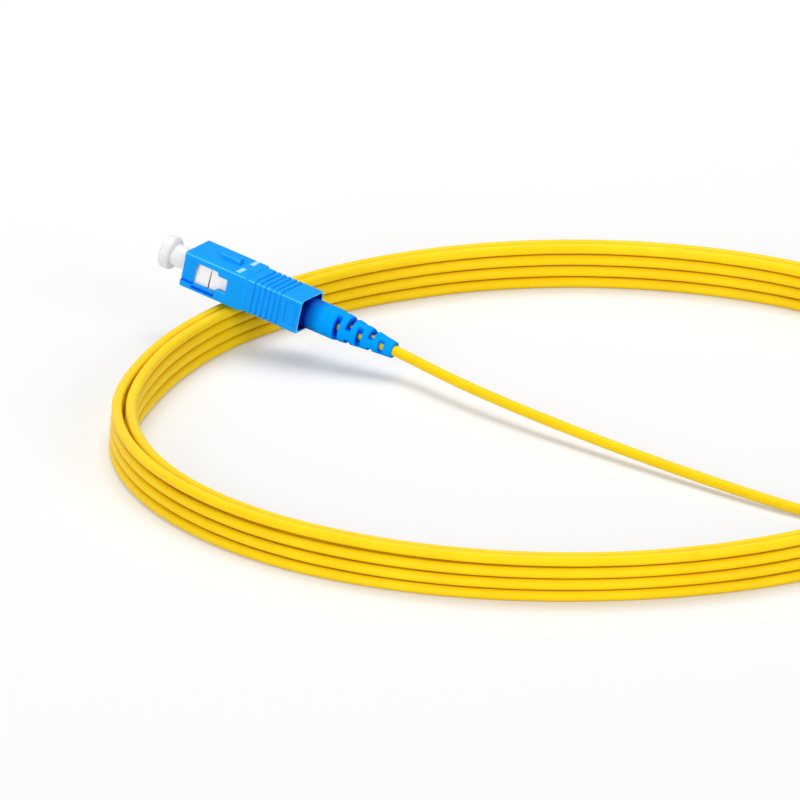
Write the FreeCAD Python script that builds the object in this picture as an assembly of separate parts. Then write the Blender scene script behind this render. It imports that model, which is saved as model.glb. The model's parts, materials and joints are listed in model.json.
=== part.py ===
import FreeCAD, Part
import math
import os

V = FreeCAD.Vector

# Simplex fibre patch cord: a jacketed single fibre wound in a two by four coil,
# with a push-pull connector on each end. Millimetres, +Z up, floor at Z = 0.
# Each connector is modelled with its nose at X = 0, its ferrule pointing along +X
# and its key on top, and is then placed where it lies. A place along a connector
# is its distance behind the nose.

# Cord and coil
CORD_D = 2.0
FIBRE_D = 0.9
COIL_R = 85.7
COIL_ROWS = 4
ROW_PITCH = 2.35
COLUMN_PITCH = 2.06
COIL_EDGE = 0.6

# Fits that pieces share
SLIDE_CLEARANCE = 0.05
RUN_CLEARANCE = 0.05
COLLAR_CLEARANCE = 0.1

# Grip: the outer sleeve that fingers hold, slimmer behind its shoulder
GRIP_L = 27.0
GRIP_W = 9.0
GRIP_H = 7.4
GRIP_EDGE = 0.4
FOOT_EDGE = 0.15
NOSE_BEVEL = 0.2
SHOULDER_AT = 14.0
SHOULDER_RUN = 0.4
TAIL_SIDE_STEP = 0.25
TAIL_TOP_STEP = 0.2
TAIL_EDGE = 0.4
SIDE_WALL = 0.8
TOP_WALL = 0.6
CAVITY_EDGE = 0.5
MOUTH_L = 4.0
MOUTH_SIDE_STEP = 0.15
MOUTH_TOP_STEP = 0.13
MOUTH_EDGE = 0.6
GRIP_TRAVEL = 2.0
TAIL_W = GRIP_W - 2 * TAIL_SIDE_STEP
TAIL_H = GRIP_H - 2 * TAIL_TOP_STEP
CAVITY_W = GRIP_W - 2 * SIDE_WALL
CAVITY_H = GRIP_H - 2 * TOP_WALL
MOUTH_W = CAVITY_W + 2 * MOUTH_SIDE_STEP
MOUTH_H = CAVITY_H + 2 * MOUTH_TOP_STEP

# Latch window in each side of the grip, and the channel that leads to it
WINDOW_FROM = 2.7
WINDOW_STEP = 7.9
WINDOW_TO = 10.2
WINDOW_TALL = 4.4
WINDOW_SHORT = 2.8
CHANNEL_DEPTH = 0.4
LEDGE_H = 0.75

# Key, finger grooves and the bare panel behind them
KEY_FROM = 5.4
KEY_L = 5.6
KEY_W = 2.4
KEY_H = 0.45
KEY_BEVEL = 0.2
GROOVE_COUNT = 6
GROOVE_FROM = 16.1
GROOVE_PITCH = 1.2
GROOVE_W = 0.4
GROOVE_DEPTH = 0.25
GROOVE_EDGE = 0.3
PANEL_L = 2.6
PANEL_INSET = 0.8
PANEL_H = 4.6
PANEL_DEPTH = 0.12

# Ferrule, its flange and the spring behind it
FERRULE_D = 2.5
FERRULE_L = 10.5
FERRULE_PROUD = 1.4
FERRULE_BEVEL = 0.5
FERRULE_TRAVEL = 1.0
FERRULE_BACK = FERRULE_L - FERRULE_PROUD
SPRING_WIRE_D = 0.45
SPRING_WIRE_SIDES = 6
SPRING_ROOM = 0.25
SPRING_TURNS = 4
SPRING_L = 5.6
FLANGE_WALL = 0.25
FLANGE_LIP = 0.1
FLANGE_L = 2.1
FLANGE_TAIL_L = 4.2
FLANGE_TAIL_D = FERRULE_D + 2 * FLANGE_WALL
SPRING_D = FLANGE_TAIL_D + 2 * (SPRING_ROOM + SPRING_WIRE_D)
FLANGE_D = SPRING_D + 2 * FLANGE_LIP

# Dust cap: how far it stands out, and how far its stem goes in
CAP_HEAD_D = 6.7
CAP_HEAD_L = 2.2
CAP_STEM_D = 4.4
CAP_REACH = 4.3
CAP_RIM = 0.35
CAP_TIP_ROOM = 0.8
CAP_END_ROOM = 0.4

# Plug frame: the inner housing that latches in the adapter
FRAME_FRONT = 0.3
FRAME_BEVEL = 0.4
BARREL_ROOM = 0.4
SEAT_AT = 5.9
SEAT_T = 0.9
SEAT_ROOM = 0.25
CHAMBER_ROOM = 0.3
LATCH_L = 3.6
LATCH_END_ROOM = 0.6
LATCH_SIDE_ROOM = 0.2
LATCH_PROUD = 0.35
LATCH_RAMP = 0.8
FRAME_SLIT_W = 0.3
FRAME_SLIT_DEPTH = 0.35
CHAMBER_D = FLANGE_D + 2 * CHAMBER_ROOM
FLANGE_FRONT = SEAT_AT + SEAT_T
FLANGE_BACK = FLANGE_FRONT + FLANGE_L
TAIL_BACK = FLANGE_BACK + FLANGE_TAIL_L

# Stop body, crimp ring and the ends of the fibre and the jacket
STOP_PLUG_L = 3.5
STOP_COLLAR_L = 0.8
GUIDE_ROOM = 1.6
POST_D = 3.8
POST_L = 5.7
POST_BORE_D = 1.6
CRIMP_GAP = 0.4
CRIMP_WALL = 0.45
CRIMP_TAPER = 1.2
CRIMP_NECK_WALL = 0.5
CRIMP_NECK_L = 4.7
STOP_FRONT = FLANGE_BACK + SPRING_L
FRAME_BACK = STOP_FRONT + STOP_PLUG_L
COLLAR_BACK = FRAME_BACK + STOP_COLLAR_L
POST_BACK = COLLAR_BACK + POST_L
CRIMP_D = POST_D + 2 * CRIMP_WALL
JACKET_FRONT = POST_BACK + CRIMP_TAPER + COLLAR_CLEARANCE
CRIMP_BACK = JACKET_FRONT + CRIMP_NECK_L

# Boot: a collar inside the grip, a smooth sleeve, then a slotted taper that bends with the cord
BOOT_INSET = 2.0
BOOT_COLLAR_ROOM = 0.15
BOOT_STEP_RUN = 0.4
BOOT_SLEEVE_L = 6.4
BOOT_TAPER_L = 13.3
BOOT_TIP_D = 3.3
BOOT_TIP_BEVEL = 0.2
BOOT_CORD_ROOM = 0.1
SLOT_COUNT = 5
SLOT_INSET = 1.45
SLOT_PITCH = 2.41
SLOT_W = 1.15
SLOT_WEB = 1.7
SLOT_FLOOR_DEPTH = 0.17
SLOT_TWIST = 7.0
BOOT_D = MOUTH_H - 2 * COLLAR_CLEARANCE
BOOT_COLLAR_D = CAVITY_H - 2 * BOOT_COLLAR_ROOM
BOOT_STEP_AT = GRIP_L - MOUTH_L + GRIP_TRAVEL + COLLAR_CLEARANCE
BOOT_TAPER_AT = GRIP_L + BOOT_SLEEVE_L
BOOT_BACK = BOOT_TAPER_AT + BOOT_TAPER_L

# The first connector lies across the coil, at an angle round it, with its nose up
REST_ANGLE_A = 141.26
REST_BEHIND_A = 7.4
REST_LIFT_A = 1.04
HEADING_A = 149.6
NOSE_UP_A = 11.8
ROLL_A = 3.0

# The second connector lies on the floor outside the coil, no wider out than the coil is
HEADING_B = 90.0
SIDE_ROOM_B = 0.03
BOOT_ROOM_B = 0.53

# Radii of the coil's outside and of the columns of turns, and the height of its top
COIL_HALF_W = (COLUMN_PITCH + CORD_D) / 2
COIL_OUT_R = COIL_R + COIL_HALF_W
INNER_COLUMN_R = COIL_R - COLUMN_PITCH / 2
OUTER_COLUMN_R = COIL_R + COLUMN_PITCH / 2
COIL_TOP = (COIL_ROWS - 1) * ROW_PITCH + CORD_D

# Points of the first lead across the ring, then its turn into the lane inside the coil. A turn's
# point is given by how far it is inside the lane, and a join's by how far inside the inner column.
LEAD_A_EXIT = 60.0
LEAD_A_POINTS = [
    V(-0.5, 0.2, 2.4),
    V(20.5, -19.5, 1.4),
    V(36.0, -33.6, 1.05),
    V(45.0, -41.0, 1.0),
]
LEAD_A_TURN = [(14.9, -41.9), (9.0, -39.6), (4.8, -35.9), (2.5, -31.0)]
LANE_ROOM = 0.12
LANE_R = COIL_R - COIL_HALF_W - CORD_D / 2 - LANE_ROOM
LANE_FROM = -23.5
LANE_TO = 32.5
LANE_STEPS = 5
LANE_JOINS = [(1.37, 43.0), (0.07, 52.0)]

# The second lead, from its boot to where it lies in the outer column
LEAD_B_EXIT = 55.2
LEAD_B_ANGLES = [-2.4, -13.3]

# Each arc takes this share of the shorter of its two runs
ARC_SHARE = 0.45


def section(x, width, height, edge, foot=None):
    """Rectangle across the axis at x, with its corners cut, the lower two by foot where it is given."""
    w, h = width / 2, height / 2
    foot = edge if foot is None else foot
    corners = [
        (w, h - edge), (w - edge, h), (edge - w, h), (-w, h - edge),
        (-w, foot - h), (foot - w, -h), (w - foot, -h), (w, foot - h),
    ]
    return Part.makePolygon([V(x, y, z) for y, z in corners + corners[:1]])


def prism(sections):
    """Straight-sided solid through cross-sections in order."""
    return Part.makeLoft(sections, True, True)


def block(back, front, y0, y1, z0, z1):
    """Box given by its distances behind the nose and its sides."""
    return Part.makeBox(back - front, y1 - y0, z1 - z0, V(-back, y0, z0))


def rod(diameter, back, front):
    """Round bar on the axis between two distances behind the nose."""
    return Part.makeCylinder(diameter / 2, back - front, V(-back, 0, 0), V(1, 0, 0))


def turned(outline):
    """Solid of revolution about the axis, from (distance behind the nose, radius) corners."""
    points = [V(-back, 0, radius) for back, radius in outline]
    face = Part.Face(Part.makePolygon(points + points[:1]))
    return face.revolve(V(0, 0, 0), V(1, 0, 0), 360)


def on_both_sides(shape):
    """The shape and its copy on the other side of the connector."""
    return [shape, shape.mirror(V(0, 0, 0), V(0, 1, 0))]


def grip_body():
    """Outside of the grip: bevelled nose, front block, shoulder and slimmer tail."""
    cut = 2 * NOSE_BEVEL
    return prism([
        section(0, GRIP_W - cut, GRIP_H - cut, GRIP_EDGE, FOOT_EDGE),
        section(-NOSE_BEVEL, GRIP_W, GRIP_H, GRIP_EDGE, FOOT_EDGE),
        section(-SHOULDER_AT, GRIP_W, GRIP_H, GRIP_EDGE, FOOT_EDGE),
        section(-SHOULDER_AT - SHOULDER_RUN, TAIL_W, TAIL_H, TAIL_EDGE, FOOT_EDGE),
        section(-GRIP_L, TAIL_W, TAIL_H, TAIL_EDGE, FOOT_EDGE),
    ])


def grip_key():
    """Raised key on top of the front block, with bevelled edges."""
    back = KEY_FROM + KEY_L
    foot = GRIP_H / 2 - KEY_BEVEL
    top = GRIP_H / 2 + KEY_H
    half = KEY_W / 2
    profile = [
        V(-back, -half, foot), V(-back, -half, top - KEY_BEVEL), V(-back, KEY_BEVEL - half, top),
        V(-back, half - KEY_BEVEL, top), V(-back, half, top - KEY_BEVEL), V(-back, half, foot),
    ]
    return Part.Face(Part.makePolygon(profile + profile[:1])).extrude(V(KEY_L, 0, 0))


def latch_window():
    """Stepped window through one side wall, the channel ahead of it and its lower ledge."""
    inside, outside = CAVITY_W / 2 - CAVITY_EDGE, GRIP_W
    floor = GRIP_W / 2 - CHANNEL_DEPTH
    tall = block(WINDOW_STEP, WINDOW_FROM, inside, outside, -WINDOW_TALL / 2, WINDOW_TALL / 2)
    short = block(WINDOW_TO, WINDOW_FROM, inside, outside, -WINDOW_SHORT / 2, WINDOW_SHORT / 2)
    channel = block(WINDOW_FROM, 0, floor, outside, -WINDOW_TALL / 2, WINDOW_TALL / 2)
    ledge = block(WINDOW_STEP, WINDOW_FROM, floor, outside, -WINDOW_TALL / 2 - LEDGE_H, 0)
    return tall.fuse([short, channel, ledge])


def finger_grooves():
    """Grooves that run right round the tail of the grip."""
    width, height = TAIL_W - 2 * GROOVE_DEPTH, TAIL_H - 2 * GROOVE_DEPTH
    cutters = []
    for i in range(GROOVE_COUNT):
        front = GROOVE_FROM + i * GROOVE_PITCH
        back = front + GROOVE_W
        slab = block(back, front, -GRIP_W, GRIP_W, -GRIP_H, GRIP_H)
        core = prism([section(-at, width, height, GROOVE_EDGE) for at in (back, front)])
        cutters.append(slab.cut(core))
    return cutters


def grip():
    """Moulded outer sleeve, open at both ends, with its windows, key and finger grooves."""
    bore = prism([section(x, CAVITY_W, CAVITY_H, CAVITY_EDGE) for x in (-GRIP_L, 0)])
    mouth = prism([section(x, MOUTH_W, MOUTH_H, MOUTH_EDGE) for x in (-GRIP_L, MOUTH_L - GRIP_L)])
    panel_floor = TAIL_W / 2 - PANEL_DEPTH
    panel_back = GRIP_L - PANEL_INSET
    panel = block(panel_back, panel_back - PANEL_L, panel_floor, GRIP_W, -PANEL_H / 2, PANEL_H / 2)
    cuts = [bore, mouth] + on_both_sides(latch_window()) + on_both_sides(panel) + finger_grooves()
    return grip_body().fuse(grip_key()).cut(cuts)


def frame_latch():
    """Latch shoulder on one side of the plug frame, with a ramp that faces the nose."""
    back = WINDOW_TO - LATCH_END_ROOM
    front = back - LATCH_L
    height = WINDOW_SHORT - 2 * LATCH_SIDE_ROOM
    side = CAVITY_W / 2 - SLIDE_CLEARANCE
    root = side - FRAME_SLIT_DEPTH
    peak = side + LATCH_PROUD
    outline = [
        V(-front, root, 0), V(-front, side, 0), V(-front - LATCH_RAMP, peak, 0),
        V(-back, peak, 0), V(-back, root, 0),
    ]
    face = Part.Face(Part.makePolygon(outline + outline[:1]))
    face.translate(V(0, 0, -height / 2))
    return face.extrude(V(0, 0, height))


def plug_frame():
    """Inner housing: front barrel, seat for the ferrule flange and chamber for the spring."""
    width = CAVITY_W - 2 * SLIDE_CLEARANCE
    height = CAVITY_H - 2 * SLIDE_CLEARANCE
    slim = 2 * FRAME_BEVEL
    edge = CAVITY_EDGE + SLIDE_CLEARANCE
    body = prism([
        section(-FRAME_FRONT, width - slim, height - slim, edge),
        section(-FRAME_FRONT - FRAME_BEVEL, width, height, edge),
        section(-FRAME_BACK, width, height, edge),
    ])
    slit_back = WINDOW_TO - LATCH_END_ROOM - LATCH_L
    slit_floor = width / 2 - FRAME_SLIT_DEPTH
    slit = block(slit_back, slit_back - FRAME_SLIT_W, slit_floor, width, -height, height)
    holes = [
        rod(CAP_STEM_D + 2 * BARREL_ROOM, SEAT_AT, 0),
        rod(FERRULE_D + 2 * SEAT_ROOM, FLANGE_FRONT, SEAT_AT),
        rod(CHAMBER_D, FRAME_BACK, FLANGE_FRONT),
    ]
    return body.cut(on_both_sides(slit)).fuse(on_both_sides(frame_latch())).cut(holes)


def ferrule():
    """Ceramic ferrule with a bevelled tip, its back inside the flange."""
    tip = -FERRULE_PROUD
    radius = FERRULE_D / 2
    return turned([
        (tip, 0), (tip, radius - FERRULE_BEVEL), (tip + FERRULE_BEVEL, radius),
        (FERRULE_BACK, radius), (FERRULE_BACK, 0),
    ])


def ferrule_flange():
    """Metal flange pressed on the ferrule, with a tail that guides the spring."""
    hole = FIBRE_D / 2 + RUN_CLEARANCE
    return turned([
        (FLANGE_FRONT, FERRULE_D / 2), (FLANGE_FRONT, FLANGE_D / 2), (FLANGE_BACK, FLANGE_D / 2),
        (FLANGE_BACK, FLANGE_TAIL_D / 2), (TAIL_BACK, FLANGE_TAIL_D / 2), (TAIL_BACK, hole),
        (FERRULE_BACK, hole), (FERRULE_BACK, FERRULE_D / 2),
    ])


def spring():
    """Coil spring between the flange and the stop body, round the flange's tail."""
    radius = (SPRING_D - SPRING_WIRE_D) / 2
    wire_r = SPRING_WIRE_D / 2
    back = STOP_FRONT - wire_r - RUN_CLEARANCE
    length = back - FLANGE_BACK - wire_r - RUN_CLEARANCE
    helix = Part.makeHelix(length / SPRING_TURNS, length, radius)
    turns = [2 * math.pi * i / SPRING_WIRE_SIDES for i in range(SPRING_WIRE_SIDES)]
    corners = [V(radius + wire_r * math.cos(t), 0, wire_r * math.sin(t)) for t in turns]
    wire = Part.makePolygon(corners + corners[:1])
    coil = Part.Wire(helix).makePipeShell([wire], True, True)
    coil.rotate(V(0, 0, 0), V(0, 1, 0), 90)
    coil.translate(V(-back, 0, 0))
    return coil


def stop_body():
    """Turned body that closes the spring chamber and ends in the post for the crimp."""
    guide = FLANGE_TAIL_D / 2 + 2 * RUN_CLEARANCE
    guide_back = TAIL_BACK + FERRULE_TRAVEL + GUIDE_ROOM
    plug, post, bore = CHAMBER_D / 2, POST_D / 2, POST_BORE_D / 2
    collar = CAVITY_H / 2 - COLLAR_CLEARANCE
    return turned([
        (STOP_FRONT, guide), (STOP_FRONT, plug), (FRAME_BACK, plug), (FRAME_BACK, collar),
        (COLLAR_BACK, collar), (COLLAR_BACK, post), (POST_BACK, post),
        (POST_BACK, bore), (guide_back, bore), (guide_back, guide),
    ])


def crimp_ring():
    """Metal sleeve pressed on the post, necked down on the jacket."""
    front = COLLAR_BACK + CRIMP_GAP
    neck_front = POST_BACK + CRIMP_TAPER
    post, jacket, bore = POST_D / 2, CORD_D / 2, POST_BORE_D / 2
    neck = jacket + CRIMP_NECK_WALL
    return turned([
        (front, post), (front, CRIMP_D / 2), (POST_BACK, CRIMP_D / 2), (neck_front, neck),
        (CRIMP_BACK, neck), (CRIMP_BACK, jacket), (JACKET_FRONT, jacket), (JACKET_FRONT, bore),
        (POST_BACK, bore), (POST_BACK, post),
    ])


def boot_slot(index):
    """One pair of round-ended slots whose flat floors just open the bore, turned across the last."""
    at = BOOT_TAPER_AT + SLOT_INSET + index * SLOT_PITCH
    along = (at - BOOT_TAPER_AT) / BOOT_TAPER_L
    radius = (BOOT_D + along * (BOOT_TIP_D - BOOT_D)) / 2
    half = SLOT_W / 2
    floor = CORD_D / 2 + BOOT_CORD_ROOM - SLOT_FLOOR_DEPTH
    reach = math.degrees(math.acos(SLOT_WEB / 2 / radius) - half / radius)
    corners = [V(-at - half, 0, 0), V(-at + half, 0, 0), V(-at + half, 0, BOOT_D), V(-at - half, 0, BOOT_D)]
    side = Part.Face(Part.makePolygon(corners + corners[:1]))
    axis = V(1, 0, 0)
    side.rotate(V(0, 0, 0), axis, -reach)
    slot = side.revolve(V(0, 0, 0), axis, 2 * reach)
    for turn in (-reach, reach):
        end = Part.makeCylinder(half, BOOT_D, V(-at, 0, 0), V(0, 0, 1))
        end.rotate(V(0, 0, 0), axis, turn)
        slot = slot.fuse(end)
    slot = slot.common(block(at + half, at - half, -BOOT_D, BOOT_D, floor, BOOT_D))
    slot.rotate(V(0, 0, 0), axis, -SLOT_TWIST - 90 * ((index + 1) % 2))
    opposite = slot.copy()
    opposite.rotate(V(0, 0, 0), axis, 180)
    return [slot, opposite]


def boot():
    """Soft boot: sleeve over the crimp, then a taper cut by pairs of crossed slots."""
    front = COLLAR_BACK + BOOT_INSET
    over_crimp = CRIMP_D / 2 + RUN_CLEARANCE
    sleeve_back = CRIMP_BACK + SLIDE_CLEARANCE
    bore = CORD_D / 2 + BOOT_CORD_ROOM
    body = turned([
        (front, over_crimp), (front, BOOT_COLLAR_D / 2), (BOOT_STEP_AT, BOOT_COLLAR_D / 2),
        (BOOT_STEP_AT + BOOT_STEP_RUN, BOOT_D / 2), (BOOT_TAPER_AT, BOOT_D / 2),
        (BOOT_BACK - BOOT_TIP_BEVEL, BOOT_TIP_D / 2), (BOOT_BACK, BOOT_TIP_D / 2 - BOOT_TIP_BEVEL),
        (BOOT_BACK, bore), (sleeve_back, bore), (sleeve_back, over_crimp),
    ])
    return body.cut([cutter for i in range(SLOT_COUNT) for cutter in boot_slot(i)])


def dust_cap():
    """Clear cap: a stem over the ferrule and a wide head to pull on."""
    head_front = -CAP_REACH - CAP_HEAD_L
    inset = SEAT_AT - FERRULE_TRAVEL - CAP_END_ROOM
    head, stem = CAP_HEAD_D / 2, CAP_STEM_D / 2
    hole = FERRULE_D / 2 + RUN_CLEARANCE
    hole_end = -FERRULE_PROUD - CAP_TIP_ROOM
    return turned([
        (head_front, 0), (head_front, head - CAP_RIM), (head_front + CAP_RIM, head),
        (-CAP_REACH - CAP_RIM, head), (-CAP_REACH, head - CAP_RIM), (-CAP_REACH, stem),
        (inset, stem), (inset, hole), (hole_end, hole), (hole_end, 0),
    ])


def fibre():
    """Buffered fibre from the back of the ferrule to the post."""
    return rod(FIBRE_D, POST_BACK - FERRULE_TRAVEL, FERRULE_BACK)


def ring_point(radius, angle, height):
    """Point by its radius and angle round the coil, and its height."""
    turn = math.radians(angle)
    return V(radius * math.cos(turn), radius * math.sin(turn), height)


def placement_a():
    """First connector: nose up, its grip across the coil."""
    turned_to = FreeCAD.Rotation(HEADING_A, -NOSE_UP_A, ROLL_A)
    rest = ring_point(COIL_R, REST_ANGLE_A, COIL_TOP + GRIP_H / 2 + REST_LIFT_A)
    return FreeCAD.Placement(rest + turned_to.multVec(V(REST_BEHIND_A, 0, 0)), turned_to)


def placement_b():
    """Second connector: flat on the floor beside the coil."""
    axis_x = COIL_OUT_R - SIDE_ROOM_B - GRIP_W / 2
    boot_end = math.sqrt((COIL_OUT_R + BOOT_ROOM_B) ** 2 - (axis_x - BOOT_TIP_D / 2) ** 2)
    nose = V(axis_x, boot_end + BOOT_BACK, GRIP_H / 2)
    return FreeCAD.Placement(nose, FreeCAD.Rotation(HEADING_B, 0, 0))


def behind(placement, distance):
    """Point on a placed connector's axis, a distance behind its nose."""
    return placement.multVec(V(-distance, 0, 0))


def rounded_route(points):
    """Straight runs joined by tangent arcs, and the radii of those arcs."""
    edges, radii = [], []
    start = points[0]
    for before, corner, after in zip(points, points[1:], points[2:]):
        inward, outward = (before - corner), (after - corner)
        turn = math.pi - inward.getAngle(outward)
        back = ARC_SHARE * min(inward.Length, outward.Length)
        radii.append(back / math.tan(turn / 2))
        first = corner + inward.normalize() * back
        last = corner + outward.normalize() * back
        toward = (first + last) * 0.5 - corner
        reach = radii[-1] * (1 / math.cos(turn / 2) - 1)
        middle = corner + toward.normalize() * reach
        edges.append(Part.LineSegment(start, first).toShape())
        edges.append(Part.Arc(first, middle, last).toShape())
        start = last
    edges.append(Part.LineSegment(start, points[-1]).toShape())
    return Part.Wire(edges), radii


def cord_tube(name, points):
    """Round tube of the jacket along a route, reporting its bends and its volume."""
    wire, radii = rounded_route(points)
    ring = Part.Wire(Part.makeCircle(CORD_D / 2, points[0], points[1] - points[0]))
    tube = wire.makePipeShell([ring], True, False)
    expected = math.pi * CORD_D ** 2 / 4 * wire.Length
    bends = ", ".join("%.1f" % radius for radius in radii)
    sizes = (name, wire.Length, tube.Volume, expected, bends)
    print("%s length %.1f, volume %.1f of %.1f, radii %s" % sizes)
    return tube


def lead_a():
    """First lead: out of its boot, down to the floor, across the ring and along its inside."""
    place = placement_a()
    step = (LANE_TO - LANE_FROM) / LANE_STEPS
    floor = CORD_D / 2
    lane = [ring_point(LANE_R, LANE_FROM + i * step, floor) for i in range(LANE_STEPS + 1)]
    turn = [ring_point(LANE_R - inset, angle, floor) for inset, angle in LEAD_A_TURN]
    joins = [ring_point(INNER_COLUMN_R - inset, angle, floor) for inset, angle in LANE_JOINS]
    start = [behind(place, JACKET_FRONT), behind(place, LEAD_A_EXIT)]
    return cord_tube("lead_a", start + LEAD_A_POINTS + turn + lane + joins)


def lead_b():
    """Second lead: from its boot down to the floor and into the outside of the coil."""
    place = placement_b()
    start = [behind(place, JACKET_FRONT), behind(place, LEAD_B_EXIT)]
    joins = [ring_point(OUTER_COLUMN_R, angle, CORD_D / 2) for angle in LEAD_B_ANGLES]
    return cord_tube("lead_b", start + joins)


def coil():
    """Outer shape of the wound turns: a ring two turns wide and four turns high, its edges cut."""
    inner, outer = COIL_R - COIL_HALF_W, COIL_OUT_R
    low, high = COIL_EDGE, COIL_TOP - COIL_EDGE
    corners = [
        V(inner + COIL_EDGE, 0, 0), V(outer - COIL_EDGE, 0, 0), V(outer, 0, low), V(outer, 0, high),
        V(outer - COIL_EDGE, 0, COIL_TOP), V(inner + COIL_EDGE, 0, COIL_TOP),
        V(inner, 0, high), V(inner, 0, low),
    ]
    outline = Part.Face(Part.makePolygon(corners + corners[:1]))
    return outline.revolve(V(0, 0, 0), V(0, 0, 1), 360)


CONNECTOR_PIECES = {
    "grip": grip,
    "plug_frame": plug_frame,
    "ferrule": ferrule,
    "ferrule_flange": ferrule_flange,
    "spring": spring,
    "stop_body": stop_body,
    "crimp_ring": crimp_ring,
    "fibre": fibre,
    "boot": boot,
    "dust_cap": dust_cap,
}


def build():
    """Every piece of the cord, by its name."""
    pieces = {"coil": coil(), "lead_a": lead_a(), "lead_b": lead_b()}
    for end, place in (("a", placement_a()), ("b", placement_b())):
        for name, make in CONNECTOR_PIECES.items():
            shape = make().removeSplitter()
            shape.Placement = place.multiply(shape.Placement)
            pieces[name + "_" + end] = shape
    return pieces


os.makedirs("parts", exist_ok=True)
for piece_name, piece in build().items():
    solids = piece.Solids
    piece = solids[0] if len(solids) == 1 else piece
    print("%-18s solids %d valid %s volume %.2f" % (piece_name, len(solids), piece.isValid(), piece.Volume))
    piece.exportStep("parts/" + piece_name + ".step")
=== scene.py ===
# %% [markdown]
# # A coiled fibre patch cord
# The imported CAD model comes in first, as a frame that never moves. Every piece made below is
# written in metres in that same frame, so nothing is fitted by eye afterwards.

# %% Load the imported model
import json
import math

import bmesh
import bpy
from mathutils import Euler, Matrix, Quaternion, Vector


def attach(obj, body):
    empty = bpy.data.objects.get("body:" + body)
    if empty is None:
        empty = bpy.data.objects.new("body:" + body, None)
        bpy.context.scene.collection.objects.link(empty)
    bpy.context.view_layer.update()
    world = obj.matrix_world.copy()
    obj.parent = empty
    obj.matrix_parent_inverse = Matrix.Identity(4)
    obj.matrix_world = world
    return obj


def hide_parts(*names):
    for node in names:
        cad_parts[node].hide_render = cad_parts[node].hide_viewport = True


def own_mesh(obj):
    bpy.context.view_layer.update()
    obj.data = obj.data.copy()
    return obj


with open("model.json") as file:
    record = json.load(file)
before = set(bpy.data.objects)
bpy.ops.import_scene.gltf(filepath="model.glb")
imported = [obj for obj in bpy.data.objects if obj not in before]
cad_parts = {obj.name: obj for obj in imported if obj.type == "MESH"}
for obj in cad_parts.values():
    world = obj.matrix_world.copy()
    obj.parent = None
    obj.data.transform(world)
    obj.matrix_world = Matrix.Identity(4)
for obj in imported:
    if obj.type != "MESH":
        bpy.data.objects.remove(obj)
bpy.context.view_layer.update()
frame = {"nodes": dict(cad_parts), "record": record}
scene = bpy.context.scene
nodes = frame["nodes"]
MM = 0.001

# %% [markdown]
# ## The camera
# A product photograph like this one is taken from far off with a long lens, so that a ring still
# looks like a true ellipse. How flat that ellipse is gives the camera's height: its short axis
# over its long axis is the sine of the angle. The picture's middle is not the middle of the ring,
# so the camera stands square to the ring and is then turned a little about its own axes. Turning
# it about the world's axes would tilt the ellipse, and shifting the lens would move other views.

# %% Camera
CAMERA_HEIGHT_DEG = 20.7
CAMERA_DISTANCE = 4.0
SENSOR_MM = 36.0
PICTURE_PX = 800
PX_PER_METRE = 5180.0
RING_CENTRE_PX = (568.0, 439.0)

camera_data = bpy.data.cameras.new("photo_camera")
camera_data.sensor_width = SENSOR_MM
focal_px = PX_PER_METRE * CAMERA_DISTANCE
camera_data.lens = focal_px / PICTURE_PX * SENSOR_MM
camera = bpy.data.objects.new("photo_camera", camera_data)
height = math.radians(CAMERA_HEIGHT_DEG)
camera.location = (0.0, -CAMERA_DISTANCE * math.cos(height), CAMERA_DISTANCE * math.sin(height))
square_on = Euler((math.pi / 2 - height, 0.0, 0.0)).to_quaternion()
turn_left = Quaternion((0, 1, 0), math.atan2(RING_CENTRE_PX[0] - PICTURE_PX / 2, focal_px))
turn_up = Quaternion((1, 0, 0), math.atan2(RING_CENTRE_PX[1] - PICTURE_PX / 2, focal_px))
camera.rotation_mode = "QUATERNION"
camera.rotation_quaternion = square_on @ turn_left @ turn_up
scene.collection.objects.link(camera)
scene.camera = camera
scene.view_settings.view_transform = "Standard"
print("lens %.1f mm at %.1f m" % (camera_data.lens, CAMERA_DISTANCE))

# %% [markdown]
# ## The route of the cord
# The real cord is one length of fibre in a soft jacket. It leaves the first boot, drops to the
# floor, crosses the ring, and runs along its inside before it joins the turns. The turns climb
# the inner column a row at a time, step across at the top, and come down the outer column. Most
# of the length is in the turns, so they are made by a loop. The free parts are two short lists of
# points in metres: the first along the photograph, the second out of its sight.

# %% Free parts of the cord
LEAD_A_POINTS = [
    (-0.05131, 0.04452, 0.01002),
    (-0.04202, 0.03907, 0.00777),
    (-0.03685, 0.03602, 0.00638),
    (-0.03340, 0.03390, 0.00540),
    (-0.02950, 0.02991, 0.00485),
    (-0.02600, 0.02544, 0.00460),
    (-0.01950, 0.01747, 0.00425),
    (-0.00928, 0.00639, 0.00370),
    (0.00150, -0.00403, 0.00300),
    (0.01385, -0.01570, 0.00240),
    (0.02530, -0.02608, 0.00195),
    (0.03677, -0.03606, 0.00160),
    (0.04436, -0.04189, 0.00135),
    (0.05030, -0.04586, 0.00115),
    (0.05670, -0.04710, 0.00105),
    (0.06300, -0.04570, 0.00105),
    (0.06860, -0.04120, 0.00105),
]
LEAD_B_POINTS = [
    (0.0867, 0.0075, 0.00105),
    (0.0860, 0.0160, 0.00105),
    (0.0848, 0.0240, 0.0012),
    (0.0837, 0.0305, 0.0030),
    (0.0832, 0.0365, 0.0037),
    (0.0832, 0.0440, 0.0037),
    (0.0832, 0.0546, 0.0037),
]
print("free points", len(LEAD_A_POINTS), "and", len(LEAD_B_POINTS))

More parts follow.
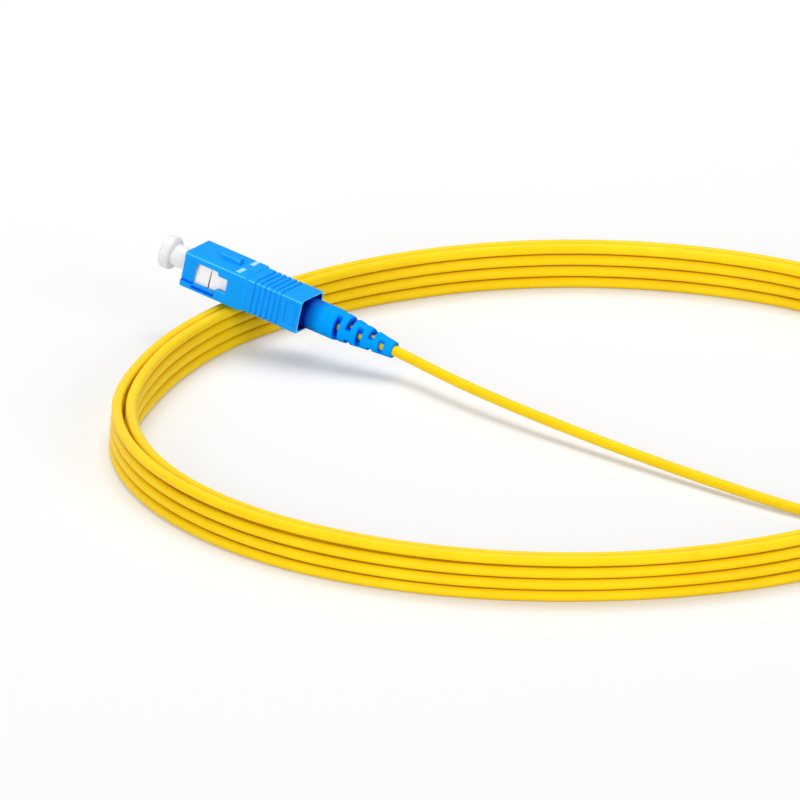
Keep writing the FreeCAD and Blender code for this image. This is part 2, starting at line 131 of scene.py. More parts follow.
# %% [markdown]
# A coil wound by hand is no perfect ring. In the photograph its left side is pushed in at the back
# and bulges at the front, the lower rows more than the upper ones. Two short lists say how far the
# foot and the top of the stack stray from the circle, in millimetres by angle, and a smooth curve
# runs through them. One more draws the inner turns apart from the outer ones at the left. The last
# two let the stack sink under the connector, and lift the outermost top turn where a gap shows.

# %% How the ring strays from a circle
TURN_DEG = 360
FOOT_STRAY = [
    (90, 0.0), (105, -0.5), (113, -1.0), (125, -1.45), (140, -1.85), (152, -2.2), (162, -2.2),
    (170, -1.3), (177, 0.1), (184, 1.0), (197, 1.3), (215, 1.3), (232, 1.2), (243, 0.8),
    (257, 0.3), (270, 0.0), (283, 0.3), (295, 1.0), (308, 1.2), (335, 0.0),
]
TOP_STRAY = [
    (90, 0.0), (105, -0.5), (113, -1.0), (125, -1.45), (140, -1.85), (154, -2.0), (163, -1.8),
    (171, -1.1), (177, -0.2), (184, 0.4), (195, 0.7), (207, 0.8), (225, 0.55), (242, 0.15),
    (262, 0.2), (277, 0.4), (292, 0.5), (310, 0.4), (335, 0.0),
]
INNER_STRAY = [(162, 0.0), (171, -0.3), (180, -0.6), (188, -0.5), (199, -0.2), (212, 0.0)]
REST_SINK = [(118, 0.0), (141, -0.3), (162, 0.0)]
OUTER_LIFT = [(190, 0.0), (215, 0.3), (250, 0.25), (285, 0.05), (310, 0.0)]


def stray(angle, knots):
    """Smooth curve through a list of (angle, millimetres), nothing beyond its ends; in metres."""
    angle = angle % TURN_DEG
    if angle <= knots[0][0] or angle >= knots[-1][0]:
        return 0.0
    i = max(k for k in range(len(knots) - 1) if knots[k][0] <= angle)
    (a0, v0), (a1, v1) = knots[i], knots[i + 1]
    before, after = knots[max(i - 1, 0)], knots[min(i + 2, len(knots) - 1)]
    run = a1 - a0
    slope0 = (v1 - before[1]) / (a1 - before[0]) * run
    slope1 = (after[1] - v0) / (after[0] - a0) * run
    s = (angle - a0) / run
    value = (2 * s ** 3 - 3 * s ** 2 + 1) * v0 + (s ** 3 - 2 * s ** 2 + s) * slope0
    value += (3 * s ** 2 - 2 * s ** 3) * v1 + (s ** 3 - s ** 2) * slope1
    return value * MM


print("the foot is pushed in by %.1f mm at most" % -min(knot[1] for knot in FOOT_STRAY))

# %% [markdown]
# The turns themselves are one winding, counted in degrees from its start. In a turn the cord keeps
# its row and its column, and passes to the next one in a short span of angles at the right, outside
# the picture. A spline of this kind runs a little inside its control points, so they lie farther out.

# %% Turns of the coil
CORD_D = 2.1 * MM
LANE_R = 82.45 * MM
INNER_R = 84.63 * MM
OUTER_R = 86.77 * MM
ROW_RISE = 2.35 * MM
FLOOR_ROW = CORD_D / 2
TOP_ROW = 3
STEP_DEG = 6
WIND_FROM = -24
WIND_TO = 8 * TURN_DEG
JOIN_TURN, JOIN_DEG = 0, (44, 57)
CLIMB_TURNS, CLIMB_DEG = (1, 2, 3), (35, 48)
CROSS_TURN, CROSS_DEG = 4, (27, 38)
DESCEND_TURNS, DESCEND_DEG = (5, 6, 7), (16, 30)
LIFT_FADE = 4
SPLINE_PULL = (3 + math.cos(math.radians(STEP_DEG))) / 4


def ease(angle, turn, span):
    """0 before a span of angles in one turn, 1 after it, and smooth between."""
    share = (angle - TURN_DEG * turn - span[0]) / (span[1] - span[0])
    share = min(1.0, max(0.0, share))
    return share * share * (3 - 2 * share)


def wound_point(angle):
    """Control point of the winding at an angle counted through all the turns."""
    radius = LANE_R + (INNER_R - LANE_R) * ease(angle, JOIN_TURN, JOIN_DEG)
    radius += (OUTER_R - INNER_R) * ease(angle, CROSS_TURN, CROSS_DEG)
    row = sum(ease(angle, turn, CLIMB_DEG) for turn in CLIMB_TURNS)
    row -= sum(ease(angle, turn, DESCEND_DEG) for turn in DESCEND_TURNS)
    height = row / TOP_ROW
    radius += stray(angle, FOOT_STRAY) * (1 - height) + stray(angle, TOP_STRAY) * height
    lift = stray(angle, REST_SINK) * height
    if angle < CROSS_TURN * TURN_DEG:
        radius += stray(angle, INNER_STRAY)
    else:
        lift += stray(angle, OUTER_LIFT) * height ** LIFT_FADE
    turned = math.radians(angle)
    reach = radius / SPLINE_PULL
    return (reach * math.cos(turned), reach * math.sin(turned), FLOOR_ROW + ROW_RISE * row + lift)


wound = [wound_point(angle) for angle in range(WIND_FROM, WIND_TO + 1, STEP_DEG)]
route = LEAD_A_POINTS + wound + LEAD_B_POINTS
print("control points", len(route))

# %% [markdown]
# The route becomes one curve with a round section. A tube of faces would look the same, but a curve
# keeps its points few and its thickness one number. The section's own depth is 1, so that the radius
# on each point is the cord's radius.

# %% The cord as one curve
SPLINE_ORDER = 3
STEPS_ALONG = 4
STEPS_AROUND = 6
cord_curve = bpy.data.curves.new("patch_cord", "CURVE")
cord_curve.dimensions = "3D"
spline = cord_curve.splines.new("NURBS")
spline.points.add(len(route) - 1)
for control, place in zip(spline.points, route):
    control.co = (*place, 1.0)
    control.radius = CORD_D / 2
spline.order_u = SPLINE_ORDER
spline.use_endpoint_u = True
spline.resolution_u = STEPS_ALONG
cord_curve.bevel_depth = 1.0
cord_curve.bevel_resolution = STEPS_AROUND
cord_curve.use_fill_caps = True
cord = bpy.data.objects.new("patch_cord", cord_curve)
scene.collection.objects.link(cord)
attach(cord, "cord")
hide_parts("coil", "lead_a", "lead_b")
print("cord curve made, %.2f mm thick" % (CORD_D / MM))

# %% [markdown]
# ## Where each connector lies
# Both connectors are the same moulding, so what is made for them is written once in the connector's
# own axes and then carried to its place: x runs forward out of the nose, y to its left and z up
# through the key. The record gives each nose and the way it points, and only the roll is added.

# %% Places of the two connectors
ROLL_DEG = {"a": 3.0, "b": 0.0}
mounts = {mount["name"]: mount for mount in frame["record"]["mounts"]}


def connector_place(end):
    """Matrix from a connector's own axes, in metres from its nose, to the frame."""
    mount = mounts["plug_" + end]
    forward = Vector(mount["axis"]).normalized()
    level = Vector((0, 0, 1)).cross(forward).normalized()
    upright = forward.cross(level)
    turn = Matrix((forward, level, upright)).transposed().to_4x4()
    roll = Matrix.Rotation(math.radians(ROLL_DEG[end]), 4, "X")
    return Matrix.Translation(Vector(mount["pos_m"])) @ turn @ roll


places = {end: connector_place(end) for end in "ab"}
in_place = {end: places[end] @ Matrix.Scale(MM, 4) for end in "ab"}
print("nose a", [round(v / MM, 2) for v in places["a"].translation])

# %% [markdown]
# ## Finishes
# Nothing here is one flat colour. Moulded plastic has a faint cloudiness and a fine grain left by
# the tool, the soft jacket is a little uneven along its length, and turned metal is never quite even.
# Painted images would need every piece unwrapped, so noise does it instead. One helper lays down the
# two noises that all finishes share: a broad one that drifts the colour and the gloss, and a fine one
# that becomes bump. They read Object coordinates, in metres.

# %% Node helpers


def link_or_set(tree, socket, value):
    """Feed a socket from another socket, or write a plain value on it."""
    if isinstance(value, bpy.types.NodeSocket):
        tree.links.new(value, socket)
    else:
        socket.default_value = value


def add_node(tree, kind, **inputs):
    """New node with some of its inputs set by name."""
    node = tree.nodes.new(kind)
    for name, value in inputs.items():
        link_or_set(tree, node.inputs[name.replace("_", " ")], value)
    return node


# %% Noise helpers
NOISE_SPAN = (0.3, 0.7)


def noise(tree, scale, detail):
    """Noise on Object coordinates, with so many features in a metre."""
    where = tree.nodes.new("ShaderNodeTexCoord")
    return add_node(
        tree, "ShaderNodeTexNoise", Vector=where.outputs["Object"], Scale=scale, Detail=detail
    ).outputs["Fac"]


def spread(tree, value, low, high):
    """A noise turned into a range of numbers."""
    start, stop = NOISE_SPAN
    return add_node(
        tree, "ShaderNodeMapRange", Value=value, From_Min=start, From_Max=stop, To_Min=low, To_Max=high
    ).outputs["Result"]


def drift(tree, value, colour, shade):
    """A noise turned into a drift between two near colours."""
    ramp = tree.nodes.new("ShaderNodeValToRGB")
    link_or_set(tree, ramp.inputs["Fac"], value)
    for stop, place, tint in zip(ramp.color_ramp.elements, NOISE_SPAN, (shade, colour)):
        stop.position = place
        stop.color = (*tint, 1.0)
    return ramp.outputs["Color"]


# %% How one finish is made
BROAD_DETAIL = 2.0
FINE_DETAIL = 4.0
GRAIN_STRENGTH = 0.35


def shader_of(material):
    """The shader node of a finish."""
    return material.node_tree.nodes["Principled BSDF"]


def finish_material(name, colour, shade, rough, cloud, grain, depth):
    """Principled finish with drifting colour and gloss and a fine grain, its depth in millimetres."""
    material = bpy.data.materials.new(name)
    material.use_nodes = True
    tree = material.node_tree
    shader = shader_of(material)
    broad = noise(tree, cloud, BROAD_DETAIL)
    fine = noise(tree, grain, FINE_DETAIL)
    bump = add_node(
        tree, "ShaderNodeBump", Height=fine, Strength=GRAIN_STRENGTH, Distance=depth * MM)
    link_or_set(tree, shader.inputs["Base Color"], drift(tree, broad, colour, shade))
    link_or_set(tree, shader.inputs["Roughness"], spread(tree, broad, *rough))
    link_or_set(tree, shader.inputs["Normal"], bump.outputs["Normal"])
    return material


# %% [markdown]
# Each row below is one finish: its colour, the shade that it drifts to, the range of its roughness,
# the clouds and the grains in a metre, and the depth of the grain in millimetres. The grip has three
# more blues beside its own: a lighter one on its edges, which is painted highlight, and deeper ones in
# its slots and inside its rear mouth, which are painted shade.

# %% Finishes of every piece
FINISHES = {
    "jacket_yellow": ((0.970, 0.680, 0.008), (0.950, 0.625, 0.005), (0.36, 0.46), 90.0, 5200.0, 0.02),
    "grip_blue": ((0.010, 0.350, 0.985), (0.008, 0.325, 0.955), (0.30, 0.38), 140.0, 9000.0, 0.008),
    "boot_blue": ((0.001, 0.340, 0.990), (0.001, 0.315, 0.960), (0.42, 0.52), 140.0, 7000.0, 0.012),
    "frame_white": ((0.95, 0.95, 0.955), (0.92, 0.92, 0.925), (0.34, 0.42), 160.0, 9000.0, 0.006),
    "cap_clear": ((0.97, 0.97, 0.985), (0.94, 0.94, 0.96), (0.30, 0.38), 200.0, 4000.0, 0.01),
    "ferrule_ceramic": ((0.90, 0.89, 0.86), (0.87, 0.86, 0.82), (0.10, 0.16), 220.0, 12000.0, 0.002),
    "nickel_metal": ((0.74, 0.72, 0.68), (0.66, 0.64, 0.60), (0.22, 0.32), 260.0, 9000.0, 0.004),
    "crimp_metal": ((0.80, 0.80, 0.81), (0.72, 0.72, 0.74), (0.28, 0.40), 260.0, 8000.0, 0.006),
    "spring_steel": ((0.60, 0.60, 0.62), (0.50, 0.50, 0.52), (0.24, 0.34), 400.0, 12000.0, 0.003),
    "buffer_white": ((0.88, 0.88, 0.86), (0.84, 0.84, 0.82), (0.45, 0.55), 200.0, 9000.0, 0.004),
    "mark_pale": ((0.36, 0.70, 0.96), (0.32, 0.66, 0.94), (0.45, 0.55), 900.0, 12000.0, 0.004),
    # painted highlight: a lighter, glossier blue for the grip's edges
    "grip_edge_painted_highlight": ((0.060, 0.560, 0.990), (0.045, 0.520, 0.970), (0.24, 0.30), 140.0, 9000.0, 0.004),
    # painted shade: a deeper blue for the grip's rail slots and the panel's border
    "grip_slot_painted_shade": ((0.001, 0.190, 0.930), (0.001, 0.170, 0.880), (0.40, 0.50), 140.0, 9000.0, 0.008),
    # painted shade: a navy for the walls inside the grip's rear mouth
    "grip_mouth_painted_shade": ((0.000, 0.060, 0.600), (0.000, 0.050, 0.540), (0.40, 0.50), 140.0, 9000.0, 0.008),
}
finishes = {name: finish_material(name, *values) for name, values in FINISHES.items()}
cord_curve.materials.append(finishes["jacket_yellow"])
print("finishes", len(finishes))

# %% [markdown]
# Some settings are the same all over a piece, so they stand on the shader itself: the weak gloss of
# the jacket and of the blue plastic, the metals, and the cap's clearness. The boot has painted shade:
# it is darker deep in its slots and beside the grip's mouth, where little light comes in. Its mesh
# carries both amounts.

# %% Gloss, metal, clearness and depth
JACKET_GLOSS, BLUE_GLOSS = 0.10, 0.01
CAP_CLEARNESS, CAP_BENDING = 0.3, 1.38
SETTINGS = [
    ("Specular IOR Level", JACKET_GLOSS, ("jacket_yellow",)),
    ("Specular IOR Level", BLUE_GLOSS, ("grip_blue", "boot_blue", "grip_slot_painted_shade", "grip_mouth_painted_shade")),
    ("Metallic", 1.0, ("nickel_metal", "crimp_metal", "spring_steel")),
    ("Transmission Weight", CAP_CLEARNESS, ("cap_clear",)),
    ("IOR", CAP_BENDING, ("cap_clear",)),
]
# painted shade of the boot: a deeper blue in its slots, a navy beside the grip's mouth
BOOT_PAINTED_SHADES = {"painted_slot_shade": (0.000, 0.060, 0.720), "painted_neck_shade": (0.000, 0.012, 0.230)}


def paint_shade(material, attribute, deep):
    """Paint shade: let a colour deepen with an amount that the mesh carries."""
    tree = material.node_tree
    base = shader_of(material).inputs["Base Color"]
    plain = base.links[0].from_socket
    amount = tree.nodes.new("ShaderNodeAttribute")
    amount.attribute_name = attribute
    mix = tree.nodes.new("ShaderNodeMix")
    mix.data_type = "RGBA"
    colours = [socket for socket in mix.inputs if socket.type == "RGBA"]
    tree.links.new(amount.outputs["Fac"], mix.inputs["Factor"])
    tree.links.new(plain, colours[0])
    colours[1].default_value = (*deep, 1.0)
    mixed = [socket for socket in mix.outputs if socket.type == "RGBA"]
    tree.links.new(mixed[0], base)


for attribute, deep in BOOT_PAINTED_SHADES.items():
    paint_shade(finishes["boot_blue"], attribute, deep)
for setting, value, names in SETTINGS:
    for name in names:
        shader_of(finishes[name]).inputs[setting].default_value = value
print("settings", len(SETTINGS), "depths", len(BOOT_PAINTED_SHADES))

# %% [markdown]
# ## Moulded and turned pieces
# The CAD solids already have the main shapes, but a real moulding has no knife edges: every corner
# catches a thin line of light. Each solid is copied, its loose triangles are merged and its flat
# faces joined up again, and a Bevel rounds its sharp outer edges. The copy then stands for the CAD
# node. Rounding the copy keeps the CAD mesh as it is, which the physics still uses.

# %% Copies of the CAD solids
FLAT_ANGLE = math.radians(0.5)
MERGE_GAP = 0.0005 * MM


def welded_copy(node):
    """Mesh of a CAD node with its loose triangles welded together."""
    work = bmesh.new()
    work.from_mesh(nodes[node].data)
    bmesh.ops.remove_doubles(work, verts=work.verts, dist=MERGE_GAP)
    mesh = bpy.data.meshes.new("welded_" + node)
    work.to_mesh(mesh)
    work.free()
    return mesh


def joined_faces(work):
    """Join loose or split triangles into the flat faces that they belong to."""
    bmesh.ops.remove_doubles(work, verts=work.verts, dist=MERGE_GAP)
    bmesh.ops.dissolve_limit(
        work, angle_limit=FLAT_ANGLE, verts=work.verts, edges=work.edges, delimit={"NORMAL", "MATERIAL"})


# %% Boxes, and cutting with them
# The grip's plain blue, its painted highlight on edges, and its painted shade in slots and mouth.
GRIP_FINISHES = ("grip_blue", "grip_edge_painted_highlight", "grip_slot_painted_shade", "grip_mouth_painted_shade")
PLAIN, PAINTED_HIGHLIGHT, PAINTED_SLOT_SHADE, PAINTED_MOUTH_SHADE = range(len(GRIP_FINISHES))


def both_sides(box):
    """A box of (behind, y, z) ranges and its mirror image on the connector's other side."""
    behind, y, z = box
    return [box, (behind, (-y[1], -y[0]), z)]


def box_mesh(boxes, end, index=PLAIN):
    """Boxes given by (behind, y, z) ranges in a connector's own millimetres, as one mesh in place."""
    work = bmesh.new()
    for behind, y, z in boxes:
        spans = [(-behind[1], -behind[0]), y, z]
        middle = Matrix.Translation([(low + high) / 2 for low, high in spans])
        size = Matrix.Diagonal([high - low for low, high in spans] + [1])
        bmesh.ops.create_cube(work, size=1.0, matrix=middle @ size)
    for face in work.faces:
        face.material_index = index
    mesh = bpy.data.meshes.new("boxes")
    work.to_mesh(mesh)
    work.free()
    mesh.transform(in_place[end])
    return mesh


def cut_by(mesh, tool_mesh):
    """Mesh with the room of another one cut out of it."""
    body = bpy.data.objects.new("body", mesh)
    tool = bpy.data.objects.new("tool", tool_mesh)
    for thing in (body, tool):
        scene.collection.objects.link(thing)
    cut = body.modifiers.new("cut", "BOOLEAN")
    cut.operation = "DIFFERENCE"
    cut.solver = "EXACT"
    cut.object = tool
    graph = bpy.context.evaluated_depsgraph_get()
    result = bpy.data.meshes.new_from_object(body.evaluated_get(graph), depsgraph=graph)
    for thing in (body, tool):
        bpy.data.objects.remove(thing)
    return result


# %% [markdown]
# Some things on the connector are finer in the photograph than in the solids. The key stands
# higher and is shorter, so its corners are moved. Behind the window the white frame lies level and a
# little deeper, a fine line crosses it, and dark slots run beside the lower rail: small boxes are cut
# from the copies for these. A thin line of painted shade frames the bare panel near the tail, which is
# a ring of faces inside its edge. The slots, that line and the rear mouth hardly see the light, so they
# take a deeper blue of painted shade. All sizes are in millimetres, and lengths along the connector are
# counted back from its nose.

# %% Key and mouth of the grip
GRIP_TOP = 3.7
KEY_FROM, KEY_LONG, KEY_HALF, KEY_TALL = 5.4, 5.6, 1.2, 0.45
SEEN_FROM, SEEN_LONG, SEEN_HALF, SEEN_TALL = 5.9, 4.3, 0.95, 0.95
KEY_SLACK = 0.01
MOUTH_FROM = 22.9
MOUTH_REACH = (3.95, 3.35)
MOUTH_WALL_TILT = 0.9


def reshape_key(mesh, end):
    """Move the corners of the key to where they show, on the connector's own axes."""
    home = in_place[end].inverted()
    for corner in mesh.vertices:
        x, y, z = home @ corner.co
        share = (-x - KEY_FROM) / KEY_LONG
        on_length = -KEY_SLACK < share < 1 + KEY_SLACK
        if on_length and abs(y) < KEY_HALF + KEY_SLACK and z > GRIP_TOP - KEY_SLACK:
            x = -SEEN_FROM - share * SEEN_LONG
            y *= SEEN_HALF / KEY_HALF
            z = GRIP_TOP + (z - GRIP_TOP) * SEEN_TALL / KEY_TALL
            corner.co = in_place[end] @ Vector((x, y, z))


def shade_mouth(mesh, end):
    """Paint shade on the walls inside the rear mouth: they take the deeper blue."""
    home = in_place[end].inverted()
    for face in mesh.polygons:
        x, y, z = home @ face.center
        across = (home.to_3x3() @ face.normal).normalized()
        inside = -x > MOUTH_FROM and abs(y) < MOUTH_REACH[0] and abs(z) < MOUTH_REACH[1]
        if inside and abs(across.x) < MOUTH_WALL_TILT:
            face.material_index = PAINTED_MOUTH_SHADE


# %% Border of the bare panel
PANEL_SIDE, PANEL_SPAN, PANEL_LINE = 4.13, (23.5, 26.3), 0.17
PANEL_SLACK = 0.02


def line_panel(work, end):
    """Give the bare panel on each side its thin border of painted shade."""
    home = in_place[end].inverted()
    floors = []
    for face in work.faces:
        x, y, _ = home @ face.calc_center_median()
        if PANEL_SPAN[0] < -x < PANEL_SPAN[1] and abs(abs(y) - PANEL_SIDE) < PANEL_SLACK:
            floors.append(face)
    ring = bmesh.ops.inset_region(work, faces=floors, thickness=PANEL_LINE * MM, use_boundary=True)
    for face in ring["faces"]:
        face.material_index = PAINTED_SLOT_SHADE
    print("panel faces", len(floors))


# %% Slots and recesses
RAIL_SLOTS = [((-0.2, 2.85), (3.95, 4.8), (-2.46, -2.1)), ((2.6, 7.8), (3.8, 4.8), (-3.17, -2.8))]
FRAME_RECESS = ((2.2, 10.6), (3.35, 4.4), (-2.7, 2.7))
FRAME_LINE = ((5.79, 5.97), (3.0, 4.4), (-2.65, 2.65))


def detailed_copy(name, end):
    """Welded copy of one solid, with the fine details that it has in the photograph and painted shade in
    the grip's slots and rear mouth.
    """
    mesh = welded_copy(name + "_" + end)
    if name == "grip":
        reshape_key(mesh, end)
        shade_mouth(mesh, end)
        for finish in GRIP_FINISHES:
            mesh.materials.append(finishes[finish])
        # the rail slots' faces take the painted shade finish
        for box in RAIL_SLOTS:
            mesh = cut_by(mesh, box_mesh(both_sides(box), end, PAINTED_SLOT_SHADE))
    if name == "plug_frame":
        for box in (FRAME_RECESS, FRAME_LINE):
            mesh = cut_by(mesh, box_mesh(both_sides(box), end))
    return mesh


# %% [markdown]
# A Bevel that is wider than the face beside it folds that face over. So each edge gets a weight, its
# own share of the widest rounding, and never more than the room beside it allows. The window of the
# grip has wide rounded corners, its two open ends have thin rims, and the slots stay crisp.

# %% How far each edge is rounded
EDGE_ANGLE = math.radians(40)
CREASE_ANGLE = math.radians(12)
ACROSS_ANGLE = math.radians(30)
ROOM_SHARE = 0.45
CORNER_ROUND = 0.38
WINDOW_SPAN, WINDOW_HALF = (2.5, 10.5), 2.5
STRAIGHT_ACROSS = 0.99
GRIP_LONG = 27.0
END_ROUND, END_SLACK = 0.05, 0.05


def room_beside(edge):
    """Length of the shortest edge that leaves this one sideways."""
    along = edge.verts[1].co - edge.verts[0].co
    lengths = [
        other.calc_length() for corner in edge.verts for other in corner.link_edges
        if other is not edge
        and ACROSS_ANGLE < along.angle(other.verts[1].co - other.verts[0].co) < math.pi - ACROSS_ANGLE]
    return min(lengths, default=0.0)


def weigh_edges(work, width, end, is_grip):
    """Give each sharp edge the share of the rounding that it takes, and keep the others crisp."""
    weight = work.edges.layers.float.new("bevel_weight_edge")
    sideways = places[end].to_3x3() @ Vector((0, 1, 0))
    home = in_place[end].inverted()
    for edge in work.edges:
        if not edge.is_manifold:
            continue
        fold = edge.calc_face_angle()
        middle = home @ ((edge.verts[0].co + edge.verts[1].co) / 2)
        along = (edge.verts[1].co - edge.verts[0].co).normalized()
        in_window = WINDOW_SPAN[0] < -middle.x < WINDOW_SPAN[1] and abs(middle.z) < WINDOW_HALF
        crosses_wall = abs(along.dot(sideways)) > STRAIGHT_ACROSS
        in_slot = any(face.material_index == PAINTED_SLOT_SHADE for face in edge.link_faces)
        if is_grip and in_window and crosses_wall and fold > EDGE_ANGLE:
            edge[weight] = min(1.0, ROOM_SHARE * room_beside(edge) / (CORNER_ROUND * MM))
        elif fold > EDGE_ANGLE and edge.is_convex and not in_slot:
            at_end = is_grip and min(abs(middle.x), abs(GRIP_LONG + middle.x)) < END_SLACK
            most = END_ROUND * MM if at_end else width
            edge[weight] = min(most, ROOM_SHARE * room_beside(edge)) / (CORNER_ROUND * MM)
        elif fold > CREASE_ANGLE:
            edge.smooth = False


# %% [markdown]
# In the photograph the grip's long edges that face up, and the rim at its tail, are lighter than its
# faces. Here that is a painted highlight: a lighter blue, with a real gloss. The Bevel lays the painted
# highlight finish on everything that it makes. Once it is baked into the mesh, that finish stays on
# those faces only, and the others go back to the plain blue.

# %% Painted highlight on the grip's edges
LONG_EDGE_UP = (0.2, 0.72)
LONG_EDGE_AHEAD = 0.3
RIM_FROM, RIM_BACKWARD = 26.6, 0.2


def paint_edge_highlights(piece, end):
    """Bake the rounding, and leave the painted highlight on the rear rim and on long edges facing up."""
    graph = bpy.context.evaluated_depsgraph_get()
    mesh = bpy.data.meshes.new_from_object(piece.evaluated_get(graph), depsgraph=graph)
    turn = places[end].to_3x3().inverted()
    home = in_place[end].inverted()
    for face in mesh.polygons:
        facing = turn @ face.normal
        long_edge = LONG_EDGE_UP[0] < facing.z < LONG_EDGE_UP[1] and abs(facing.x) < LONG_EDGE_AHEAD
        rim = (home @ face.center).x < -RIM_FROM and facing.x < -RIM_BACKWARD
        if rim and face.material_index != PAINTED_MOUTH_SHADE:
            face.material_index = PAINTED_HIGHLIGHT
        elif face.material_index == PAINTED_HIGHLIGHT and not long_edge:
            face.material_index = PLAIN
    piece.modifiers.clear()
    piece.data = mesh


# %% [markdown]
# Each row below is one moulded or turned piece: its finish, the rounding of its edges in millimetres,
# and the body that it moves with. The grip slides on its own, the ferrule takes its flange and fibre
# along, the cap comes off, and all else stays on the cord.

# %% Rounded pieces
ROUND_STEPS = 3
MOULDED = {
    "grip": ("grip_blue", 0.16, "grip"),
    "plug_frame": ("frame_white", 0.08, "cord"),
    "dust_cap": ("cap_clear", 0.07, "cap"),
    "ferrule": ("ferrule_ceramic", 0.06, "ferrule"),
    "ferrule_flange": ("nickel_metal", 0.05, "ferrule"),
    "stop_body": ("nickel_metal", 0.06, "cord"),
    "crimp_ring": ("crimp_metal", 0.05, "cord"),
    "fibre": ("buffer_white", 0.04, "ferrule"),
}


def weighed_mesh(name, end, width):
    """Detailed mesh of one solid, with flat faces and weighed edges."""
    work = bmesh.new()
    work.from_mesh(detailed_copy(name, end))
    joined_faces(work)
    if name == "grip":
        line_panel(work, end)
    weigh_edges(work, width, end, name == "grip")
    mesh = bpy.data.meshes.new("rounded_" + name + "_" + end)
    work.to_mesh(mesh)
    work.free()
    for face in mesh.polygons:
        face.use_smooth = True
    return mesh


def rounded_piece(name, end):
    """Rounded stand-in for one solid of one connector, riding where that solid rides."""
    slot, width, body = MOULDED[name]
    mesh = weighed_mesh(name, end, width * MM)
    looks = GRIP_FINISHES if name == "grip" else (slot,)
    for finish in looks:
        mesh.materials.append(finishes[finish])
    piece = bpy.data.objects.new(mesh.name, mesh)
    scene.collection.objects.link(piece)
    bevel = piece.modifiers.new("round_edges", "BEVEL")
    bevel.width = CORNER_ROUND * MM
    bevel.segments = ROUND_STEPS
    bevel.limit_method = "WEIGHT"
    bevel.use_clamp_overlap = False
    even = piece.modifiers.new("even_normals", "WEIGHTED_NORMAL")
    even.keep_sharp = True
    if name == "grip":
        # the Bevel's faces first all take the painted highlight finish
        bevel.material = PAINTED_HIGHLIGHT
        paint_edge_highlights(piece, end)
    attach(piece, body if body == "cord" else body + "_" + end)
    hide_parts(name + "_" + end)
    return piece


rounded = {(name, end): rounded_piece(name, end) for name in MOULDED for end in "ab"}
print("rounded pieces", len(rounded))

# %% [markdown]
# ## The boot as a formula
# The boot is soft rubber: a smooth sleeve, then a taper cut by pairs of slots, each pair a quarter
# turn from the last, so that it bends evenly. Cutting slots with booleans leaves knife edges and
# slivers. Here the boot is written as a distance field in Geometry Nodes instead: each form is a
# short formula, a smooth maximum joins them with rounded edges, and a volume turns the field into a
# mesh. A small class lets the node maths read like the formula.

# %% Node maths that reads like a formula


class Amount:
    """A number that varies through space, held in a node tree."""

    def __init__(self, tree, socket):
        self.tree = tree
        self.socket = socket

    def do(self, operation, *others):
        """The outcome of one maths node on this number and others."""
        node = self.tree.nodes.new("ShaderNodeMath")
        node.operation = operation
        for socket, value in zip(node.inputs, (self, *others)):
            link_or_set(self.tree, socket, value.socket if isinstance(value, Amount) else value)
        return Amount(self.tree, node.outputs[0])

    def __add__(self, other):
        return self.do("ADD", other)

    def __sub__(self, other):
        return self.do("SUBTRACT", other)

    def __mul__(self, other):
        return self.do("MULTIPLY", other)

    def __truediv__(self, other):
        return self.do("DIVIDE", other)

    def __neg__(self):
        return self.do("MULTIPLY", -1.0)

    def clamped(self, low, high):
        """This number, kept between two others."""
        return self.do("MAXIMUM", low).do("MINIMUM", high)

    def share(self, start, run):
        """0 before start, 1 after start plus run, straight between."""
        return ((self - start) / run).clamped(0.0, 1.0)


# %% Trees that grow a mesh


def new_tree(name, sizes):
    """Geometry node tree with named number inputs, a material input and one mesh output."""
    tree = bpy.data.node_groups.new(name, "GeometryNodeTree")
    for label, value in sizes.items():
        socket = tree.interface.new_socket(label, in_out="INPUT", socket_type="NodeSocketFloat")
        socket.default_value = value
    tree.interface.new_socket("Material", in_out="INPUT", socket_type="NodeSocketMaterial")
    tree.interface.new_socket("Geometry", in_out="OUTPUT", socket_type="NodeSocketGeometry")
    return tree


def end_tree(tree, geometry, given):
    """Realize, give the material, and hand the mesh out."""
    real = add_node(tree, "GeometryNodeRealizeInstances", Geometry=geometry)
    painted = add_node(
        tree, "GeometryNodeSetMaterial", Geometry=real.outputs["Geometry"], Material=given["Material"])
    smooth = add_node(tree, "GeometryNodeSetShadeSmooth", Geometry=painted.outputs["Geometry"])
    out = tree.nodes.new("NodeGroupOutput")
    tree.links.new(smooth.outputs["Geometry"], out.inputs["Geometry"])


def grown_mesh(name, tree, material):
    """Plain mesh that a tree makes, on an object that is then removed."""
    holder = bpy.data.objects.new("holder", bpy.data.meshes.new("holder"))
    scene.collection.objects.link(holder)
    modifier = holder.modifiers.new("grow", "NODES")
    modifier.node_group = tree
    for socket in tree.interface.items_tree:
        if socket.in_out == "INPUT" and socket.name == "Material":
            modifier[socket.identifier] = material
    graph = bpy.context.evaluated_depsgraph_get()
    mesh = bpy.data.meshes.new_from_object(holder.evaluated_get(graph), depsgraph=graph)
    mesh.name = name
    holder.modifiers.remove(modifier)
    bpy.data.objects.remove(holder)
    return mesh


# %% [markdown]
# The sizes of the boot are inputs of its tree, in millimetres, with the slots' twist in degrees. Its
# places are counted back from the nose. Beside the distance, the field says how deep in a slot a place
# is and how near the grip's mouth. The mesh keeps both as named amounts, which the boot's finish reads
# as painted shade.

